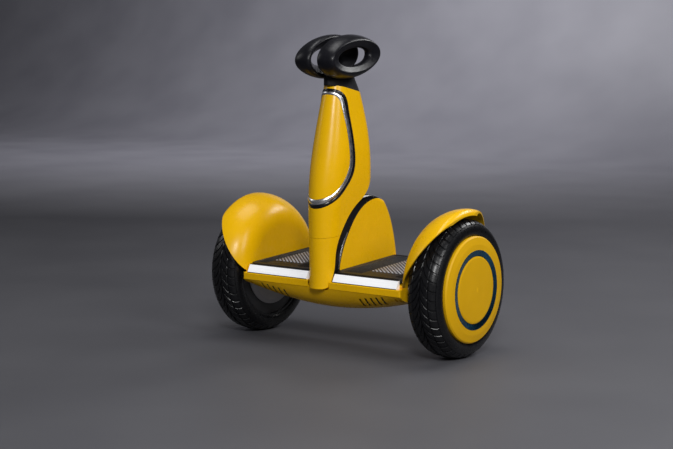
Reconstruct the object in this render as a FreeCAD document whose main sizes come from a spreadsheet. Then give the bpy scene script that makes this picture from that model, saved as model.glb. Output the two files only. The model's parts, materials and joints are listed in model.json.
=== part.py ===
"""Two-wheel self-balancing vehicle with a knee-steered column.

The frame: origin on the ground midway between the wheels, under the axle. +Z is up, the front is
-Y and the wheels' axis lies along X. Every length is in millimetres.
"""
import FreeCAD, Part
import math
import os
import re

import Sketcher
from FreeCAD import Placement, Rotation, Vector

# alias, value, what it is
DIMENSIONS = (
    ("axle_height", 131, "wheel axis above the ground, the tyre's radius"),
    ("track_half", 236, "tyre's middle plane from the vehicle's middle"),
    ("tyre_half_width", 34.5, "half the tyre's section width"),
    ("tyre_seat", 84, "radius where the tyre sits on the rim"),
    ("shoulder_radius", 10, "rounding of the tyre's shoulders"),
    ("flange_radius", 95.5, "rim flange beside the tyre's bead"),
    ("drum_bore", 72, "bore of the rim, where the magnets sit"),
    ("magnet_bore", 66, "inside radius of the magnet ring"),
    ("stator_radius", 65.4, "outside radius of the motor's stator"),
    ("bearing_radius", 14, "outside radius of the wheel bearings"),
    ("axle_radius", 8, "fixed wheel axle"),
    ("running_gap", 0.05, "radial clearance of shafts that turn or slide"),
    ("cover_radius", 100.4, "yellow cover on the wheel's outer face"),
    ("ring_outer", 75, "outside radius of the blue ring"),
    ("ring_inner", 64, "inside radius of the blue ring"),
    ("wheel_face", 42, "wheel cover's outer face from the tyre's middle plane"),
    ("valve_circle", 88, "distance of the valve from the wheel's axis"),
    ("valve_radius", 3.85, "thread of a standard tyre valve"),
    ("wall", 3, "thickness of the moulded shells"),
    ("body_half_depth", 119, "front and rear lip from the axle's plane"),
    ("parting_height", 124, "joint between the lower and the upper shell"),
    ("hull_half_length", 187, "half the hull's length along the axle"),
    ("belly_height", 80.5, "lowest point of the hull"),
    ("belly_rise", 27, "how much higher the hull's bottom is at its ends"),
    ("deck_half_length", 183, "deck, between the two fender walls"),
    ("lip_height", 137, "front lip, under the light bars"),
    ("lip_width", 14.8, "ledge of the lips, on which the light bars stand"),
    ("mat_height", 155, "mat's surface at its front edge"),
    ("mat_front", 104.8, "mat's front edge from the axle's plane"),
    ("mat_thickness", 8, "rubber mat"),
    ("mat_travel", 1.3, "how far a mat is pressed down by a foot"),
    ("deck_slope", 2.75, "degrees that the deck rises towards the rear"),
    ("fender_radius", 150, "fender's crown from the wheel's axis"),
    ("fender_crown", 251, "fender's crown from the vehicle's middle"),
    ("fender_bulge", 103.5, "half-axis of the fender's elliptic section"),
    ("curl_radius", 12, "fender's outer edge, where it curls down"),
    ("hump_half_width", 22, "hump between the feet"),
    ("hump_round", 9, "rounding of the hump's edges"),
    ("bar_start", 31.5, "light bar's inner end"),
    ("bar_end", 177, "light bar's outer end"),
    ("pivot_height", 140, "axis about which the column leans"),
    ("stem_back", 103, "back of the column's foot, in front of the axle's plane"),
    ("shaft_radius", 10, "steering shaft"),
    ("bush_radius", 12, "outside radius of the steering bushes"),
    ("seam_height", 219, "joint between the column's foot and its shells"),
    ("seam_gap", 0.5, "shadow gap at that joint"),
    ("toe_bottom", 123.5, "lowest point of the column"),
    ("toe_round", 16, "rounding of the column's lower corners"),
    ("notch_gap", 2.9, "room in the hull round the column's foot"),
    ("tube_radius", 8, "tube inside the column"),
    ("post_radius", 6.2, "sliding post of the knee pad"),
    ("tube_foot", 119, "tube's lower end in front of the axle's plane"),
    ("tube_start", 162, "height of the tube's lower end"),
    ("tube_length", 328, "length of the tube"),
    ("tube_lean", 9.3, "degrees that the tube leans back"),
    ("trim_width", 14, "bright strip round the column's front panel"),
    ("pad_ring_length", 83.5, "half the length of a knee ring"),
    ("pad_ring_height", 42, "half the height of a knee ring"),
    ("pad_hole_length", 49, "half the length of a knee ring's hole"),
    ("pad_hole_height", 16.3, "half the height of a knee ring's hole"),
    ("pad_middle", 55.5, "knee rings' centre in front of the axle's plane"),
    ("pad_height", 561, "knee rings' centre above the ground"),
    ("pad_tilt", 6, "degrees that the knee rings rise towards the rear"),
    ("pad_inner_face", 8, "knee ring's inner face from the middle"),
    ("button_radius", 7, "power button"),
    ("button_offset", 15, "power button and charging port from the middle"),
)
ALIASES = {alias for alias, _, _ in DIMENSIONS}
AXIS_TURN = {
    "x": Rotation(Vector(0, 1, 0), 90),
    "y": Rotation(Vector(1, 0, 0), -90),
    "z": Rotation(),
}
SIDES = (("right", 1), ("left", -1))

doc = FreeCAD.newDocument("balance_vehicle")
sheet = doc.addObject("Spreadsheet::Sheet", "Sizes")
sub_parts = {}


# ---------------------------------------------------------------- helpers

def fill_sheet():
    """Write each driving dimension into its own aliased cell."""
    for row, (alias, value, note) in enumerate(DIMENSIONS, start=1):
        sheet.set(f"A{row}", alias)
        sheet.set(f"B{row}", str(value))
        sheet.set(f"C{row}", note)
        sheet.setAlias(f"B{row}", alias)
    doc.recompute()


def size(alias):
    """The number in a dimension's cell."""
    return float(sheet.get(alias))


def formula(text):
    """Point each dimension's name in an expression at its cell."""
    return re.sub(r"[a-z_]+", lambda word: cell_name(word.group(0)), str(text))


def cell_name(word):
    return f"Sizes.{word}" if word in ALIASES else word


def bind(thing, field, text):
    thing.setExpression(field, formula(text))


def keep(name, thing):
    """Name a finished sub-part, so that it is checked and written."""
    thing.Label = name
    sub_parts[name] = thing
    return thing


def box(name, along_x, along_y, along_z):
    """A block between a low and a high place along each axis."""
    block = doc.addObject("Part::Box", name)
    spans = (along_x, along_y, along_z)
    for field, (low, high) in zip(("Length", "Width", "Height"), spans):
        bind(block, field, f"({high}) - ({low})")
    for axis, (low, _) in zip("xyz", spans):
        bind(block, f"Placement.Base.{axis}", low)
    return block


def rod(name, axis, radius, low, high, **centre):
    """A round bar along an axis, from low to high on it."""
    bar = doc.addObject("Part::Cylinder", name)
    bar.Placement = Placement(Vector(), AXIS_TURN[axis])
    bind(bar, "Radius", radius)
    bind(bar, "Height", f"({high}) - ({low})")
    bind(bar, f"Placement.Base.{axis}", low)
    for other, place in centre.items():
        bind(bar, f"Placement.Base.{other}", place)
    return bar


def cut(name, base, *tools):
    """The base without the tools."""
    result = doc.addObject("Part::Cut", name)
    result.Base = base
    result.Tool = tools[0] if len(tools) == 1 else join(name + "_tools", *tools)
    return result


def join(name, *pieces):
    fused = doc.addObject("Part::MultiFuse", name)
    fused.Shapes = list(pieces)
    return fused


def group(name, *pieces):
    """Identical small pieces that stay separate solids in one sub-part."""
    together = doc.addObject("Part::Compound", name)
    together.Links = list(pieces)
    return together


def mirrored(name, source):
    """The same piece on the vehicle's left side."""
    other = doc.addObject("Part::Mirroring", name)
    other.Source = source
    other.Base = Vector()
    other.Normal = Vector(1, 0, 0)
    return other


def shaped(name, shape):
    """A free-form solid, made from the sheet's sizes in code."""
    feature = doc.addObject("Part::Feature", name)
    feature.Shape = shape
    return feature


def origin_feature(body, role):
    return next(item for item in body.Origin.OriginFeatures if item.Role == role)


def outline(body, role, corners):
    """A closed sketch whose corners are expressions of the sheet's sizes."""
    sketch = body.newObject("Sketcher::SketchObject", body.Name + "_outline")
    sketch.AttachmentSupport = [(origin_feature(body, role), "")]
    sketch.MapMode = "FlatFace"
    count = len(corners)
    start = [Vector(math.cos(math.tau * i / count), math.sin(math.tau * i / count), 0)
             for i in range(count)]
    for i in range(count):
        sketch.addGeometry(Part.LineSegment(start[i], start[(i + 1) % count]), False)
    for i in range(count):
        sketch.addConstraint(Sketcher.Constraint("Coincident", i, 2, (i + 1) % count, 1))
    for i, (across, upward) in enumerate(corners):
        for kind, text in (("DistanceX", across), ("DistanceY", upward)):
            number = sketch.addConstraint(Sketcher.Constraint(kind, -1, 1, i, 1, 1.0))
            sketch.setExpression(f"Constraints[{number}]", formula(text))
    return sketch


def lathe(name, corners, place):
    """A body turned about its own X axis from corners given as (along X, radius)."""
    body = doc.addObject("PartDesign::Body", name)
    sketch = outline(body, "XZ_Plane", corners)
    turned = body.newObject("PartDesign::Revolution", name + "_turned")
    turned.Profile = sketch
    turned.ReferenceAxis = (origin_feature(body, "X_Axis"), [""])
    turned.Angle = 360
    body.Placement = place
    return body


def round_circles(body, radius, places):
    """Fillet the circular edges of a turned body that lie at the given (along X, radius)."""
    doc.recompute()
    base = body.Tip
    names = []
    for number, edge in enumerate(base.Shape.Edges, start=1):
        spot = edge.Vertexes[0].Point
        reach = math.hypot(spot.y, spot.z)
        if any(abs(spot.x - x) < 0.01 and abs(reach - r) < 0.01 for x, r in places):
            names.append(f"Edge{number}")
    fillet = body.newObject("PartDesign::Fillet", body.Name + "_rounded")
    fillet.Base = (base, names)
    bind(fillet, "Radius", radius)
    return fillet


def prism(name, role, corners, length, place):
    """A body padded from an outline of corners, along its sketch plane's normal."""
    body = doc.addObject("PartDesign::Body", name)
    sketch = outline(body, role, corners)
    pad = body.newObject("PartDesign::Pad", name + "_pad")
    pad.Profile = sketch
    bind(pad, "Length", length)
    body.Placement = place
    return body


def point(y, z, x=0.0):
    return Vector(x, y, z)


def curve(points):
    """A smooth edge through points."""
    spline = Part.BSplineCurve()
    spline.interpolate(points)
    return spline.toShape()


def bezier(*poles):
    arc = Part.BezierCurve()
    arc.setPoles(list(poles))
    return arc.toShape()


def line(start, end):
    return Part.LineSegment(start, end).toShape()


def slab(edges, half_width):
    """A closed outline in the YZ plane, thickened both ways along X."""
    face = Part.Face(Part.Wire(edges))
    face.translate(Vector(-half_width, 0, 0))
    return face.extrude(Vector(2 * half_width, 0, 0))


def block(x, y, z):
    """A plain block used as a tool, from (low, high) pairs."""
    corner = Vector(x[0], y[0], z[0])
    return Part.makeBox(x[1] - x[0], y[1] - y[0], z[1] - z[0], corner)


def ellipse_wire(centre, half_x, half_y):
    """A closed ellipse, level in X and Y."""
    if half_x >= half_y:
        edge = Part.Ellipse(centre + Vector(half_x, 0, 0), centre + Vector(0, half_y, 0), centre)
    else:
        edge = Part.Ellipse(centre + Vector(0, half_y, 0), centre - Vector(half_x, 0, 0), centre)
    return Part.Wire([edge.toShape()])


# ---------------------------------------------------------------- wheels

def wheel_place(side):
    """Wheel bodies are modelled about their own axis, with +X pointing outboard."""
    turn = Rotation(Vector(0, 0, 1), 0 if side > 0 else 180)
    return Placement(Vector(side * size("track_half"), 0, size("axle_height")), turn)


def make_wheel(label, side):
    place = wheel_place(side)
    width = size("tyre_half_width")
    tread = size("axle_height")

    outer = [("24", "flange_radius + 0.5"), ("30.5", "flange_radius + 0.5"),
             ("30.5", "cover_radius + 0.8"), ("tyre_half_width", "cover_radius + 0.8"),
             ("tyre_half_width", "axle_height - 17"), ("tyre_half_width - 6", "axle_height - 8"),
             ("tyre_half_width - 15", "axle_height")]
    chamber = [("15", "tyre_seat"), ("tyre_half_width - 8", "cover_radius + 3"),
               ("tyre_half_width - 8", "axle_height - 20"), ("tyre_half_width - 16", "axle_height - 13")]
    half = chamber[::-1] + [("24", "tyre_seat")] + outer
    other = [(f"-({x})", r) for x, r in half]
    tyre = lathe(f"tyre_{label}", half + other[::-1], place)
    shoulders = [(s * (width - inward), tread - drop) for s in (1, -1)
                 for inward, drop in ((0, 17), (6, 8), (15, 0))]
    round_circles(tyre, "shoulder_radius", shoulders)
    keep(f"tyre_{label}", tyre)

    keep(f"wheel_rim_{label}", lathe(f"wheel_rim_{label}", [
        ("-26.5", "drum_bore"), ("-26.5", "flange_radius"), ("-24", "flange_radius"),
        ("-24", "tyre_seat"), ("24", "tyre_seat"), ("24", "flange_radius"),
        ("26.5", "flange_radius"), ("26.5", "78"), ("16", "drum_bore + 2"), ("16", "bearing_radius + 6"),
        ("20", "bearing_radius + 6"), ("20", "bearing_radius"), ("8", "bearing_radius"),
        ("8", "bearing_radius + 6"), ("12", "bearing_radius + 6"), ("12", "drum_bore")], place))

    keep(f"magnet_ring_{label}", lathe(f"magnet_ring_{label}", [
        ("-20", "magnet_bore"), ("11", "magnet_bore"), ("11", "drum_bore"), ("-20", "drum_bore")], place))

    keep(f"motor_cover_{label}", lathe(f"motor_cover_{label}", [
        ("-26.5", "drum_bore + 3"), ("-29.5", "drum_bore + 3"), ("-33", "drum_bore - 5"),
        ("-33", "bearing_radius"), ("-21", "bearing_radius"), ("-21", "bearing_radius + 6"),
        ("-30", "bearing_radius + 8"), ("-30", "drum_bore - 3"), ("-26.5", "drum_bore - 1")], place))

    bore = "axle_radius + running_gap"
    bearings = [lathe(f"bearing_{spot}_{label}", [
        (low, bore), (high, bore), (high, "bearing_radius"), (low, "bearing_radius")], place)
        for spot, low, high in (("outer", "8", "20"), ("inner", "-33", "-21"))]
    keep(f"wheel_bearings_{label}", group(f"wheel_bearings_{label}", *bearings))

    cover = lathe(f"hub_cover_{label}", [
        ("31.3", "cover_radius"), ("36.5", "cover_radius"), ("39", "cover_radius - 2.4"),
        ("wheel_face - 0.5", "85"), ("wheel_face", "ring_outer"), ("wheel_face - 2.5", "ring_outer"),
        ("wheel_face - 2.7", "80"), ("26.5", "80"), ("26.5", "83"), ("38.6", "83"),
        ("36.5", "cover_radius - 3.9"), ("31.3", "cover_radius - 2.8")], place)
    keep(f"hub_cover_{label}", cover)

    keep(f"hub_ring_{label}", lathe(f"hub_ring_{label}", [
        ("37", "ring_inner"), ("37", "ring_outer"), ("wheel_face + 0.4", "ring_outer"),
        ("wheel_face + 1", "ring_outer - 1"), ("wheel_face - 1", "ring_inner")], place))

    keep(f"hub_cap_{label}", lathe(f"hub_cap_{label}", [
        ("wheel_face + 1", "0"), ("wheel_face + 0.6", "40"), ("wheel_face", "60"),
        ("wheel_face - 1", "ring_inner - 0.8"), ("38", "ring_inner - 0.8"), ("38", "53"), ("16", "53"),
        ("16", "50"), ("38", "50"), ("38.5", "0")], place))

    valve = lathe(f"valve_{label}", [
        ("-26.5", "0"), ("-26.5", "5"), ("-29", "5"), ("-29.5", "valve_radius"),
        ("-37", "valve_radius"), ("-37.8", "valve_radius - 0.8"), ("-37.8", "0")],
        place * Placement(Vector(0, 0, size("valve_circle")), Rotation()))
    keep(f"valve_{label}", valve)


def make_motor(label, side):
    """The axle and the stator stand still, and the wheel turns round them."""
    place = wheel_place(side)
    keep(f"axle_{label}", lathe(f"axle_{label}", [
        ("-86", "0"), ("-86", "axle_radius"), ("20.4", "axle_radius"), ("20.4", "axle_radius + 2.5"),
        ("23.4", "axle_radius + 2.5"), ("24.4", "axle_radius"), ("25", "0")], place))

    stator = lathe(f"stator_{label}", [
        ("-19", "axle_radius"), ("7", "axle_radius"), ("7", "18"), ("4", "20"), ("4", "stator_radius"),
        ("-16", "stator_radius"), ("-16", "20"), ("-19", "18")], place)
    slots = stator.newObject("Sketcher::SketchObject", f"stator_slots_{label}")
    slots.AttachmentSupport = [(origin_feature(stator, "YZ_Plane"), "")]
    slots.MapMode = "FlatFace"
    slot_width, slot_foot, slot_top = 5.0, 40.0, 62.0
    corners = [Vector(slot_foot, -slot_width / 2, 0), Vector(slot_top, -slot_width / 2, 0),
               Vector(slot_top, slot_width / 2, 0), Vector(slot_foot, slot_width / 2, 0)]
    for i in range(4):
        slots.addGeometry(Part.LineSegment(corners[i], corners[(i + 1) % 4]), False)
    pocket = stator.newObject("PartDesign::Pocket", f"stator_slot_{label}")
    pocket.Profile = slots
    pocket.Type = 1
    pocket.Midplane = True
    doc.recompute()
    pattern = stator.newObject("PartDesign::PolarPattern", f"stator_teeth_{label}")
    pattern.Originals = [pocket]
    pattern.Axis = (origin_feature(stator, "X_Axis"), [""])
    pattern.Angle = 360
    pattern.Occurrences = 18
    stator.Tip = pattern
    keep(f"stator_{label}", stator)


# ---------------------------------------------------------------- hull and deck

def deck_level(height, y):
    """Height at y of a plane that lies along the sloping deck, given at the mat's front edge."""
    return height + math.tan(math.radians(size("deck_slope"))) * (y + size("mat_front"))


def hull_section(x, inset):
    """Cross-section of the hull at x: an open boat shape closed by its parting line."""
    depth = size("body_half_depth") - 1 - inset
    top = size("parting_height") + (6 if inset else 0)
    rise = size("belly_rise") * (x / size("hull_half_length")) ** 2
    belly = size("belly_height") + rise + inset
    flat, bend = depth - 53, depth - 14
    front = [point(-depth, top, x), point(-bend, belly + 3, x), point(-flat, belly, x)]
    rear = [point(flat, belly, x), point(bend, belly + 3, x), point(depth, top, x)]
    return Part.Wire([bezier(*front), line(front[2], rear[0]), bezier(*rear), line(rear[2], front[0])])


def hull_loft(half_length, inset):
    places = [half_length * step / 3 for step in range(-3, 4)]
    return Part.makeLoft([hull_section(x, inset) for x in places], True, False)


def vent_slots():
    """Five upright slots a side in the front of the hull, and two small ones at its end."""
    tools = []
    for side in (1, -1):
        for step in range(5):
            x = side * (91 + 13 * step)
            low = 94 + 2.2 * step
            tools.append(block((x - 2.6, x + 2.6), (-125, -84), (low, low + 17)))
        for x in (172 * side, 181 * side):
            tools.append(block((x - 2, x + 2), (-125, -95), (112, 119)))
    return tools


def axle_holes(radius):
    start, length = size("deck_half_length") - 8, 30
    centre = size("axle_height")
    return [Part.makeCylinder(radius, length, Vector(side * start, 0, centre), Vector(side, 0, 0))
            for side in (1, -1)]


def column_notch(gap):
    """The recess in which the column's foot swings, larger than the foot by the gap."""
    room = block((-60, 60), (-140, 5 - size("stem_back")), (60, 200))
    return toe_shape(-gap).common(column_loft(-gap)).common(room)


def make_lower_shell():
    wall = size("wall")
    shell = hull_loft(size("hull_half_length"), 0).cut(hull_loft(size("hull_half_length") - wall, wall))
    pad = Part.makeCylinder(16, 4.5, Vector(0, 0, size("belly_height") - 0.5))
    shell = shell.fuse(pad).cut(Part.makeCylinder(6, 20, Vector(0, 0, size("belly_height") - 5)))
    liner = column_notch_liner().common(hull_loft(size("hull_half_length"), 0))
    shell = shell.fuse(liner)
    for tool in vent_slots() + axle_holes(14) + [column_notch(size("notch_gap"))]:
        shell = shell.cut(tool)
    keep("lower_shell", shaped("lower_shell", shell.removeSplitter()))


def column_notch_liner():
    """The wall of the recess, which keeps dirt out of the hull."""
    margin = size("notch_gap") + size("wall")
    room = block((-60, 60), (-140, 8 - size("stem_back")), (60, size("parting_height")))
    return toe_shape(-margin).common(column_loft(-margin)).common(room)


def make_stand_insert():
    insert = lathe("stand_insert", [
        ("0", "3.4"), ("0", "6"), ("10", "6"), ("10", "3.4")],
        Placement(Vector(0, 0, size("belly_height") - 0.5), Rotation(Vector(0, 1, 0), -90)))
    keep("stand_insert", insert)


def deck_section():
    """Outline of the upper shell across the vehicle: front lip, deck plate and rear lip."""
    wall, depth = size("wall"), size("body_half_depth")
    low, lip, rear_lip = size("parting_height"), size("lip_height"), size("lip_height") + 10
    seat = depth - size("lip_width")
    top = size("mat_height") - size("mat_thickness") - 3
    corners = [
        (-depth, low), (-depth, lip - 1.5), (1.5 - depth, lip), (-seat, lip),
        (-seat, deck_level(top, -seat)), (seat, deck_level(top, seat)), (seat, rear_lip),
        (depth - 1.5, rear_lip), (depth, rear_lip - 1.5), (depth, low), (depth - wall, low),
        (depth - wall, rear_lip - wall), (seat - wall, rear_lip - wall),
        (seat - wall, deck_level(top - wall, seat - wall)),
        (wall - seat, deck_level(top - wall, wall - seat)), (wall - seat, lip - wall),
        (wall - depth, lip - wall), (wall - depth, low)]
    places = [point(y, z) for y, z in corners]
    return [line(a, b) for a, b in zip(places, places[1:] + places[:1])]


def make_upper_shell():
    half, depth = size("deck_half_length"), size("body_half_depth")
    end, low = size("hull_half_length"), size("parting_height")
    seat = depth - size("lip_width")
    shell = slab(deck_section(), half)
    for side in (1, -1):
        span = (half, end) if side > 0 else (-end, -half)
        shell = shell.fuse(block(span, (-depth, depth), (low, size("lip_height"))))
    shell = shell.removeSplitter()
    corners = [edge for edge in shell.Edges if upright(edge) and abs(edge.Vertexes[0].X) > end - 0.1]
    shell = shell.makeFillet(end - half - 0.5, corners)
    bulkhead = size("stem_back") - 5
    shell = shell.fuse(block((-38, 38), (-seat, 3 - bulkhead), (low, low + 20)))
    block_end = size("bar_start") - 0.5
    shell = shell.fuse(block((-block_end, block_end), (seat, depth - 2),
                             (size("lip_height") + 10, size("mat_height") + 7)).cut(hump_solid()))
    shell = shell.cut(block((-block_end, block_end), (-size("mat_front"), -bulkhead), (low - 1, 200)))
    shell = shell.cut(column_notch(size("notch_gap")))
    shell = shell.cut(block((-19, 19), (3 - bulkhead, seat - 4), (low - 1, 200)))
    shaft = Vector(0, -130, size("pivot_height"))
    shell = shell.cut(Part.makeCylinder(size("shaft_radius") + 2, 60, shaft, Vector(0, 1, 0)))
    for tool in axle_holes(14):
        shell = shell.cut(tool)
    offset, height = size("button_offset"), low + 11.5
    for x, radius in ((offset, size("button_radius") + 0.4), (-offset, 8.0)):
        place = Vector(x, depth - 30, height)
        shell = shell.cut(Part.makeCylinder(radius, 40, place, Vector(0, 1, 0)))
    keep("upper_shell", shaped("upper_shell", shell.removeSplitter()))


def upright(edge):
    """True for a straight edge that stands along Z."""
    if not isinstance(edge.Curve, (Part.Line, Part.LineSegment)):
        return False
    return abs(edge.tangentAt(edge.FirstParameter).z) > 0.999


def make_fender():
    """A dome round the wheel's axis, with its opening cut on a slant, and its mirror image."""
    crown, radius, bulge = size("fender_crown"), size("fender_radius"), size("fender_bulge")
    curl, wall, flat = size("curl_radius"), size("wall"), size("deck_half_length")
    blend_start, blend_end = 212, 88
    centre = Vector(crown, 0, 0)

    def profile(inset):
        """The wall, its blend into the dome, the dome and the curled rim, as four edges."""
        half_x, half_z, side_x = bulge - inset, radius - inset, flat + inset
        ellipse = Part.Ellipse(centre + Vector(0, 0, half_z), centre - Vector(half_x, 0, 0), centre)
        share = (crown - blend_start) / half_x
        join_z = half_z * math.sqrt(1 - share ** 2)
        slope = half_z / half_x * share / math.sqrt(1 - share ** 2)
        joint = Vector(blend_start, 0, join_z)
        corner = Vector(side_x, 0, join_z - slope * (blend_start - side_x))
        foot = Vector(side_x, 0, blend_end)
        start, end = sorted((ellipse.parameter(joint), ellipse.parameter(centre + Vector(0, 0, half_z))))
        dome = (ellipse.toShape(start, end) if end - start < math.pi
                else ellipse.toShape(end, start + math.tau))
        middle = Vector(crown, 0, radius - curl)
        reach = curl - inset
        half_way = middle + Vector(reach * math.sin(math.pi / 4), 0, reach * math.cos(math.pi / 4))
        rim = Part.Arc(Vector(crown, 0, half_z), half_way, middle + Vector(reach, 0, 0)).toShape()
        return foot, [bezier(foot, corner, joint), dome, rim]

    outer_foot, outer = profile(0)
    inner_foot, inner = profile(wall)
    hub, level = 14, radius - curl
    edges = outer + inner + [
        line(Vector(flat, 0, hub), outer_foot), line(inner_foot, Vector(flat + wall, 0, hub)),
        line(Vector(crown + curl, 0, level), Vector(crown + curl - wall, 0, level)),
        line(Vector(flat + wall, 0, hub), Vector(flat, 0, hub))]
    face = Part.Face(Part.Wire(Part.__sortEdges__(edges)))
    dome = face.revolve(Vector(), Vector(1, 0, 0), 360)
    dome.translate(Vector(0, 0, size("axle_height")))
    right = dome.common(fender_front_area()).common(fender_rear_area())
    right = keep("fender_right", shaped("fender_right", right))
    keep("fender_left", mirrored("fender_left", right))


def fender_front_area():
    """Inboard of the fender's opening, seen from the front: slanted below, upright at the crown."""
    inboard, sill, top = size("deck_half_length") - 30, size("lip_height"), 320
    edge_x = size("deck_half_length") + 3.5
    rises = ((0, 3), (30, 48), (57, 89), (71, 113), (76.5, 133), (78, top - sill))
    opening = [Vector(edge_x + outward, 0, sill + up) for outward, up in rises]
    corners = [opening[-1], Vector(inboard, 0, top), Vector(inboard, 0, sill), Vector(edge_x, 0, sill),
               opening[0]]
    edges = [curve(opening)] + [line(a, b) for a, b in zip(corners, corners[1:])]
    face = Part.Face(Part.Wire(edges))
    face.translate(Vector(0, -200, 0))
    return face.extrude(Vector(0, 400, 0))


def fender_rear_area():
    """Inboard of the fender's rear edge, seen from above, where it sweeps in towards the rear."""
    inboard, outboard = size("deck_half_length") - 30, size("fender_crown") + size("curl_radius") + 1
    sweep = [Vector(outboard, 0, 0), Vector(outboard - 4, 30, 0), Vector(outboard - 13, 60, 0),
             Vector(outboard - 25, 90, 0), Vector(outboard - 42, 125, 0), Vector(outboard - 62, 160, 0)]
    corners = [Vector(inboard, 160, 0), Vector(inboard, -200, 0), Vector(outboard, -200, 0), sweep[0]]
    edges = [curve(sweep), line(sweep[-1], corners[0])]
    edges += [line(a, b) for a, b in zip(corners, corners[1:])]
    return Part.Face(Part.Wire(edges)).extrude(Vector(0, 0, 400))


def make_lights():
    """Sloping light bars along the front and the rear edge of the deck, with their boards."""
    depth = size("body_half_depth")

    def bar(name, base, facing):
        back, foot, brow = depth - 13.4, depth - 2, depth - 10
        corners = [(f"{facing * back}", base), (f"{facing * foot}", base),
                   (f"{facing * (foot - 0.6)}", f"{base} + 2"), (f"{facing * brow}", f"{base} + 15.3"),
                   (f"{facing * back}", f"{base} + 15.6")]
        place = Placement(Vector(size("bar_start"), 0, 0), Rotation())
        return prism(name, "YZ_Plane", corners, "bar_end - bar_start", place)

    for name, base, facing in (("front_lights", "lip_height + 0.1", -1),
                               ("tail_lights", "lip_height + 10.1", 1)):
        right = bar(name + "_right", base, facing)
        keep(name, group(name, right, mirrored(name + "_left", right)))
    boards = []
    for name, low, base in (("front", 13.5 - depth, "lip_height + 1"),
                            ("rear", depth - 14.7, "lip_height + 11")):
        board = box(f"light_board_{name}", ("bar_start + 2", "bar_end - 4"),
                    (f"{low}", f"{low} + 1.2"), (base, f"{base} + 6"))
        boards += [board, mirrored(f"light_board_{name}_left", board)]
    keep("light_boards", group("light_boards", *boards))


def make_mats():
    """Rubber foot mats that press down on the sensors in the deck."""
    inner, notch = "hump_half_width + 2.5", "bar_start + 1"
    front, rear, outer = "-mat_front", "mat_front - 2", "deck_half_length - 1"
    slope = Rotation(Vector(1, 0, 0), size("deck_slope"))
    base = size("mat_height") - size("mat_thickness")
    place = Placement(Vector(0, 0, base), slope, Vector(0, -size("mat_front"), 0))
    mat = prism("foot_mat_right", "XY_Plane", [
        (notch, front), (f"{outer} - 8", front), (outer, f"{front} + 12"), (outer, f"{rear} - 12"),
        (f"{outer} - 8", rear), (inner, rear), (inner, "10 - stem_back"), (notch, "10 - stem_back")],
        "mat_thickness", place)
    keep("foot_mat_right", mat)
    keep("foot_mat_left", mirrored("foot_mat_left", mat))
    sensor = prism("foot_sensor_right", "XY_Plane", [
        ("60", "-60"), ("150", "-60"), ("150", "60"), ("60", "60")], "1.2",
        Placement(Vector(0, 0, base - size("mat_travel") - 1.6), slope, Vector(0, -size("mat_front"), 0)))
    keep("foot_sensors", group("foot_sensors", sensor, mirrored("foot_sensor_left", sensor)))


# ---------------------------------------------------------------- hump between the feet

def hump_front():
    """Front and top edge of the hump, from the deck to where the black band ends."""
    return [point(-98, 140), point(-98, 165), point(-96, 185), point(-84, 220), point(-62, 255),
            point(-22, 287.5), point(18, 293.5), point(50, 287), point(73, 277)]


def hump_rear():
    return [point(73, 277), point(92, 249), point(106, 215), point(115, 180), point(118, 160),
            point(118, 140)]


def band_edge():
    """Edge between the black band and the yellow cover."""
    return [point(-81, 140), point(-79, 164), point(-66, 199), point(-44, 234), point(-9, 268),
            point(25, 281.5), point(50, 282.5), point(73.5, 274)]


def deck_cut(lift):
    """Everything under a plane along the deck."""
    half = 300
    low = Vector(-half, -200, 0)
    tool = Part.makeBox(2 * half, 420, deck_level(size("mat_height"), -200) + lift, low)
    slope = Placement(Vector(), Rotation(Vector(1, 0, 0), size("deck_slope")),
                      Vector(0, -200, deck_level(size("mat_height"), -200) + lift))
    tool.Placement = slope
    return tool


def hump_solid():
    """The hump's outer form, with rounded edges."""
    front, rear = hump_front(), hump_rear()
    edges = [curve(front), curve(rear), line(rear[-1], front[0])]
    solid = slab(edges, size("hump_half_width"))
    rims = [edge for edge in solid.Edges if isinstance(edge.Curve, Part.BSplineCurve)]
    return solid.makeFillet(size("hump_round"), rims)


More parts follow.
